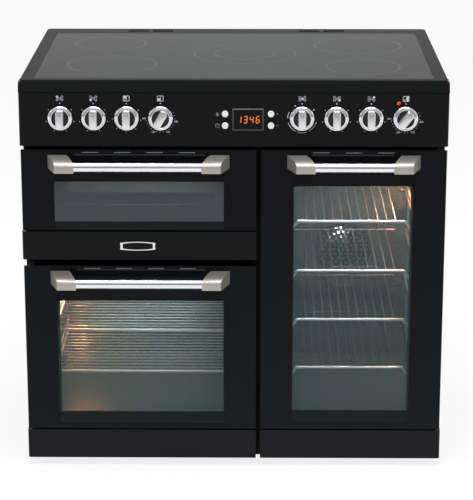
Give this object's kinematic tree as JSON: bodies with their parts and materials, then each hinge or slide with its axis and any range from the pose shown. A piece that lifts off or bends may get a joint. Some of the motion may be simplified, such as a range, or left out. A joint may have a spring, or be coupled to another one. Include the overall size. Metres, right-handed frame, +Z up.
{
  "type": "range cooker with double oven",
  "caption": "Freestanding range cooker: ceramic hob with radiant zones, drop-down grill door, side-hung main oven and tall fan oven, rotary knobs and a timer panel.",
  "frame": {"origin": "on the floor, under the middle of the whole cooker's box", "axes": "+X to the cooker's right as seen from the front, -Y towards the cook, +Z up"},
  "size_m": [0.9, 0.653, 0.86],
  "materials": {
    "charcoal_panels": "glossy",
    "front_frame_paint": "satin",
    "plated_steel": "satin",
    "hob_trim": "satin",
    "hob_ceramic": "glossy",
    "printed_glass": "glossy",
    "clear_glass": "glossy",
    "oven_enamel": "glossy",
    "door_steel": "satin",
    "polished_chrome": "polished",
    "rack_wire": "polished",
    "element_sheath": "oxidised",
    "heater_insulation": "matt",
    "black_plastic": "matt",
    "button_chrome": "polished",
    "seal_rubber": "matt"
  },
  "bodies": {
    "chassis": {"side_panel_left": "charcoal_panels", "side_panel_right": "charcoal_panels", "base_panel": "plated_steel", "back_panel": "plated_steel", "mains_inlet_box": "black_plastic", "front_frame": "front_frame_paint", "levelling_feet": "black_plastic", "plinth_panels": "charcoal_panels", "badge_panel": "charcoal_panels", "badge_plate": "polished_chrome", "hob_frame": "hob_trim", "hob_glass": "hob_ceramic", "radiant_heaters": "heater_insulation", "hob_tray": "plated_steel", "upper_trim_band": "charcoal_panels", "control_fascia": "charcoal_panels", "switch_units": "black_plastic", "timer_window": "printed_glass", "grill_liner": "oven_enamel", "main_oven_liner": "oven_enamel", "tall_oven_liner": "oven_enamel", "heating_elements": "element_sheath", "fan_cover": "oven_enamel", "fan_motor": "plated_steel", "side_runners": "rack_wire", "main_oven_racks": "rack_wire", "tall_oven_racks": "rack_wire", "grill_rack": "rack_wire", "grill_pan": "oven_enamel", "door_seals": "seal_rubber", "lamp_lenses": "clear_glass", "door_hinges": "plated_steel"},
    "grill_door": {"grill_door_glass": "printed_glass", "grill_door_frame": "door_steel", "grill_door_inner_glass": "clear_glass", "grill_door_handle_bar": "polished_chrome", "grill_door_handle_brackets": "polished_chrome"},
    "main_oven_door": {"main_oven_door_glass": "printed_glass", "main_oven_door_frame": "door_steel", "main_oven_door_inner_glass": "clear_glass", "main_oven_door_handle_bar": "polished_chrome", "main_oven_door_handle_brackets": "polished_chrome"},
    "tall_oven_door": {"tall_oven_door_glass": "printed_glass", "tall_oven_door_frame": "door_steel", "tall_oven_door_inner_glass": "clear_glass", "tall_oven_door_handle_bar": "polished_chrome", "tall_oven_door_handle_brackets": "polished_chrome"},
    "rear_left_zone_knob": {"rear_left_zone_knob": "polished_chrome"},
    "front_left_zone_knob": {"front_left_zone_knob": "polished_chrome"},
    "grill_knob": {"grill_knob": "polished_chrome"},
    "main_oven_knob": {"main_oven_knob": "polished_chrome"},
    "centre_zone_knob": {"centre_zone_knob": "polished_chrome"},
    "front_right_zone_knob": {"front_right_zone_knob": "polished_chrome"},
    "rear_right_zone_knob": {"rear_right_zone_knob": "polished_chrome"},
    "tall_oven_knob": {"tall_oven_knob": "polished_chrome"},
    "upper_left_timer_button": {"upper_left_timer_button": "button_chrome"},
    "lower_left_timer_button": {"lower_left_timer_button": "button_chrome"},
    "upper_right_timer_button": {"upper_right_timer_button": "button_chrome"},
    "lower_right_timer_button": {"lower_right_timer_button": "button_chrome"},
    "fan": {"fan_impeller": "element_sheath"}
  },
  "joints": [
    {"name": "grill_door_hinge", "type": "hinge", "parent": "chassis", "child": "grill_door", "pos_m": [-0.2, -0.266, 0.558], "axis": [1, 0, 0], "range_deg": [0, 90]},
    {"name": "main_oven_door_hinge", "type": "hinge", "parent": "chassis", "child": "main_oven_door", "pos_m": [-0.436, -0.266, 0.2715], "axis": [0, 0, -1], "range_deg": [0, 100]},
    {"name": "tall_oven_door_hinge", "type": "hinge", "parent": "chassis", "child": "tall_oven_door", "pos_m": [0.436, -0.266, 0.399], "axis": [0, 0, 1], "range_deg": [0, 100]},
    {"name": "rear_left_zone_knob_turn", "type": "hinge", "parent": "chassis", "child": "rear_left_zone_knob", "pos_m": [-0.363, -0.2765, 0.78], "axis": [0, 1, 0], "continuous": true},
    {"name": "front_left_zone_knob_turn", "type": "hinge", "parent": "chassis", "child": "front_left_zone_knob", "pos_m": [-0.293, -0.2765, 0.78], "axis": [0, 1, 0], "continuous": true},
    {"name": "grill_knob_turn", "type": "hinge", "parent": "chassis", "child": "grill_knob", "pos_m": [-0.224, -0.2765, 0.78], "axis": [0, 1, 0], "range_deg": [0, 270]},
    {"name": "main_oven_knob_turn", "type": "hinge", "parent": "chassis", "child": "main_oven_knob", "pos_m": [-0.153, -0.2765, 0.78], "axis": [0, 1, 0], "range_deg": [-30, 240]},
    {"name": "centre_zone_knob_turn", "type": "hinge", "parent": "chassis", "child": "centre_zone_knob", "pos_m": [0.143, -0.2765, 0.78], "axis": [0, 1, 0], "range_deg": [0, 300]},
    {"name": "front_right_zone_knob_turn", "type": "hinge", "parent": "chassis", "child": "front_right_zone_knob", "pos_m": [0.215, -0.2765, 0.78], "axis": [0, 1, 0], "continuous": true},
    {"name": "rear_right_zone_knob_turn", "type": "hinge", "parent": "chassis", "child": "rear_right_zone_knob", "pos_m": [0.287, -0.2765, 0.78], "axis": [0, 1, 0], "continuous": true},
    {"name": "tall_oven_knob_turn", "type": "hinge", "parent": "chassis", "child": "tall_oven_knob", "pos_m": [0.359, -0.2765, 0.78], "axis": [0, 1, 0], "range_deg": [-38, 232]},
    {"name": "upper_left_timer_button_press", "type": "slide", "parent": "chassis", "child": "upper_left_timer_button", "axis": [0, 1, 0], "range_m": [0, 0.002], "stiffness_N_per_m": 250, "springref_m": -0.001},
    {"name": "lower_left_timer_button_press", "type": "slide", "parent": "chassis", "child": "lower_left_timer_button", "axis": [0, 1, 0], "range_m": [0, 0.002], "stiffness_N_per_m": 250, "springref_m": -0.001},
    {"name": "upper_right_timer_button_press", "type": "slide", "parent": "chassis", "child": "upper_right_timer_button", "axis": [0, 1, 0], "range_m": [0, 0.002], "stiffness_N_per_m": 250, "springref_m": -0.001},
    {"name": "lower_right_timer_button_press", "type": "slide", "parent": "chassis", "child": "lower_right_timer_button", "axis": [0, 1, 0], "range_m": [0, 0.002], "stiffness_N_per_m": 250, "springref_m": -0.001},
    {"name": "fan_spin", "type": "hinge", "parent": "chassis", "child": "fan", "pos_m": [0.2525, 0.16, 0.37], "axis": [0, 1, 0], "continuous": true}
  ]
}
